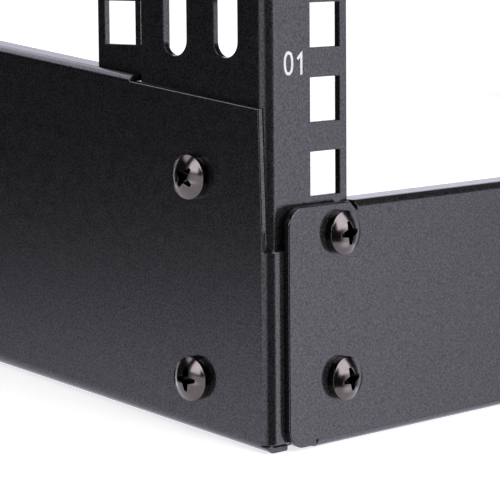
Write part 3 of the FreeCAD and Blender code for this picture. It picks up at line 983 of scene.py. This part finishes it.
# The studio as gloss sees it: white paper and lamps with a dark room between them. Each field has the
# azimuth of its middle, from +X towards +Y, its half width, its lower and upper elevation, its
# strength, and how soft its sides and its edges are. All but the strength are in degrees.
FIELDS = (
    (22, 38, -25, 24, 1.0, 8, 4),  # paper behind on the right
    (95, 40, 25, 55, 2.7, 4, 5),  # paper behind, above
    (78, 14, -25, 25, 3.0, 5, 5),  # and below it
    (307, 16, -30, 14, 2.35, 13, 6),  # wide paper in front, for the front faces
    (152, 28, -21.5, -13.4, 1.8, 16, 2),  # low on the left, for the side panel
    (185, 26, -21.5, 4, 1.6, 14, 2),  # beside it, for the start of the corner's bend
    (170, 17, 10, 40, 5.6, 4, 5),  # lamp on the left, for the side screws
    (292, 23, 12, 55, 5.6, 4, 5),  # lamp in front, for the front screws
    (0, 200, -87, -21.5, 1.45, 8, 2),  # paper underfoot, all round
)


def calc(tree, operation, a, b=None):
    """A math node on two sockets or numbers."""
    made = node(tree, "ShaderNodeMath", operation=operation)
    for i, value in enumerate((a, b)):
        if isinstance(value, (int, float)):
            made.inputs[i].default_value = value
        elif value is not None:
            tree.links.new(value, made.inputs[i])
    return made.outputs[0]


def rise(tree, value, low, high):
    """Smoothly from 0 at low to 1 at high."""
    made = node(tree, "ShaderNodeMapRange", {"From Min": low, "From Max": high}, interpolation_type="SMOOTHSTEP")
    tree.links.new(value, made.inputs["Value"])
    return made.outputs["Result"]


def dot(tree, direction, axis):
    """How far a direction goes along an axis."""
    made = node(tree, "ShaderNodeVectorMath", {1: axis}, operation="DOT_PRODUCT")
    tree.links.new(direction, made.inputs[0])
    return made.outputs["Value"]


def field(tree, direction, azimuth, wide, low, high, strength, soft_side, soft_edge):
    """A bright field of the studio with soft sides and edges."""
    t, s, w, e, foot, top = (math.radians(v) for v in (azimuth, soft_side, wide, soft_edge, low, high))
    ahead = dot(tree, direction, (math.cos(t), math.sin(t), 0))
    across = dot(tree, direction, (-math.sin(t), math.cos(t), 0))
    up = dot(tree, direction, (0, 0, 1))
    off = calc(tree, "ABSOLUTE", calc(tree, "ARCTAN2", across, ahead))
    sides = rise(tree, off, w + s, w - s)
    above = rise(tree, up, math.sin(foot) - e, math.sin(foot) + e)
    below = rise(tree, up, math.sin(top) + e, math.sin(top) - e)
    return calc(tree, "MULTIPLY", calc(tree, "MULTIPLY", sides, strength), calc(tree, "MULTIPLY", above, below))


def seen_directly(tree, path):
    """1 for camera rays and for those that go through something."""
    return calc(tree, "MAXIMUM", path.outputs["Is Camera Ray"], path.outputs["Is Transmission Ray"])


def floor_material():
    mat, tree, shader = new_material("floor_white")
    for key, value in {"Base Color": (0.8, 0.8, 0.8, 1), "Roughness": 0.9, "Specular IOR Level": 0.1}.items():
        shader.inputs[key].default_value = value
    seen = seen_directly(tree, node(tree, "ShaderNodeLightPath"))
    glow = node(tree, "ShaderNodeEmission")
    both = node(tree, "ShaderNodeAddShader")
    tree.links.new(calc(tree, "MULTIPLY", seen, FLOOR_GLOW), glow.inputs["Strength"])
    tree.links.new(shader.outputs[0], both.inputs[0])
    tree.links.new(glow.outputs[0], both.inputs[1])
    tree.links.new(both.outputs[0], tree.nodes["Material Output"].inputs["Surface"])
    return mat


def add_floor():
    bm = bmesh.new()
    bmesh.ops.create_grid(bm, x_segments=1, y_segments=1, size=FLOOR_SIZE)
    data = bpy.data.meshes.new("floor")
    bm.to_mesh(data)
    bm.free()
    data.materials.append(floor_material())
    floor = in_scene("floor", data)
    floor.visible_glossy = False


def add_world():
    """White for the camera, the fields for gloss and a dim level for the rest."""
    world = bpy.data.worlds.new("studio")
    bpy.context.scene.world = world
    world.use_nodes = True
    world.cycles.sampling_method = "NONE"
    tree = world.node_tree
    background = tree.nodes["Background"]
    direction = node(tree, "ShaderNodeTexCoord").outputs["Generated"]
    path = node(tree, "ShaderNodeLightPath")
    gloss = path.outputs["Is Glossy Ray"]
    total = GLOSS_REST
    for values in FIELDS:
        total = calc(tree, "ADD", field(tree, direction, *values), total)
    clear = seen_directly(tree, path)
    rest = calc(tree, "SUBTRACT", 1.0, calc(tree, "MAXIMUM", clear, gloss))
    level = calc(tree, "ADD", calc(tree, "MULTIPLY", gloss, total), clear)
    level = calc(tree, "ADD", level, calc(tree, "MULTIPLY", rest, AMBIENT))
    factor, plain, tinted, result = 0, 6, 7, 2
    tint = node(tree, "ShaderNodeMix", data_type="RGBA")
    tint.inputs[plain].default_value = WHITE
    tint.inputs[tinted].default_value = GLOSS_TINT
    tree.links.new(gloss, tint.inputs[factor])
    tree.links.new(tint.outputs[result], background.inputs["Color"])
    tree.links.new(level, background.inputs["Strength"])


def softbox(name, at, target, wide, high, power):
    """A lamp for matt surfaces; gloss sees the world's fields in its place."""
    light = bpy.data.lights.new(name, "AREA")
    light.shape = "RECTANGLE"
    light.size = wide
    light.size_y = high
    light.energy = power
    obj = in_scene(name, light)
    obj.location = at
    obj.rotation_mode = "QUATERNION"
    obj.rotation_quaternion = (Vector(target) - Vector(at)).to_track_quat("-Z", "Y")
    obj.visible_camera = False
    obj.visible_glossy = False


add_floor()
add_world()
front_corner = (POST_X * MM, FRONT_Y * MM, 0.06)
softbox("key", (0.20, -1.60, 0.90), front_corner, wide=1.3, high=0.8, power=18)
softbox("top", (-0.1, -0.1, 1.7), front_corner, wide=1.4, high=1.4, power=9)


# camera, fitted to the edges and holes in the photograph

YAW, PITCH, ROLL = math.radians(46.97), math.radians(7.15), math.radians(-0.45)  # against the leaning post
FOCAL, SHOT = 2651.0, 500.0  # focal length and width of the picture, in its pixels
SENSOR = 36.0
EYE = (-407.4, -375.1, 54.5 + RACK_LOW + HOLE_FIRST)  # in the post's frame


def add_camera():
    forward = (LEAN_X * math.sin(YAW) + LEAN_Y * math.cos(YAW)) * math.cos(PITCH) - LEAN_S * math.sin(PITCH)
    side = LEAN_X * math.cos(YAW) - LEAN_Y * math.sin(YAW)
    up = side.cross(forward)
    right = side * math.cos(ROLL) + up * math.sin(ROLL)
    above = up * math.cos(ROLL) - side * math.sin(ROLL)
    data = bpy.data.cameras.new("camera")
    data.sensor_width = SENSOR
    data.lens = FOCAL / SHOT * SENSOR
    data.clip_start = 0.01
    data.clip_end = 100.0
    camera = in_scene("camera", data)
    turn = Matrix((right, above, -forward)).transposed().to_4x4()
    camera.matrix_world = Matrix.Translation(lean_point(*EYE) * MM) @ turn
    bpy.context.scene.camera = camera


add_camera()
bpy.context.scene.view_settings.view_transform = "Standard"
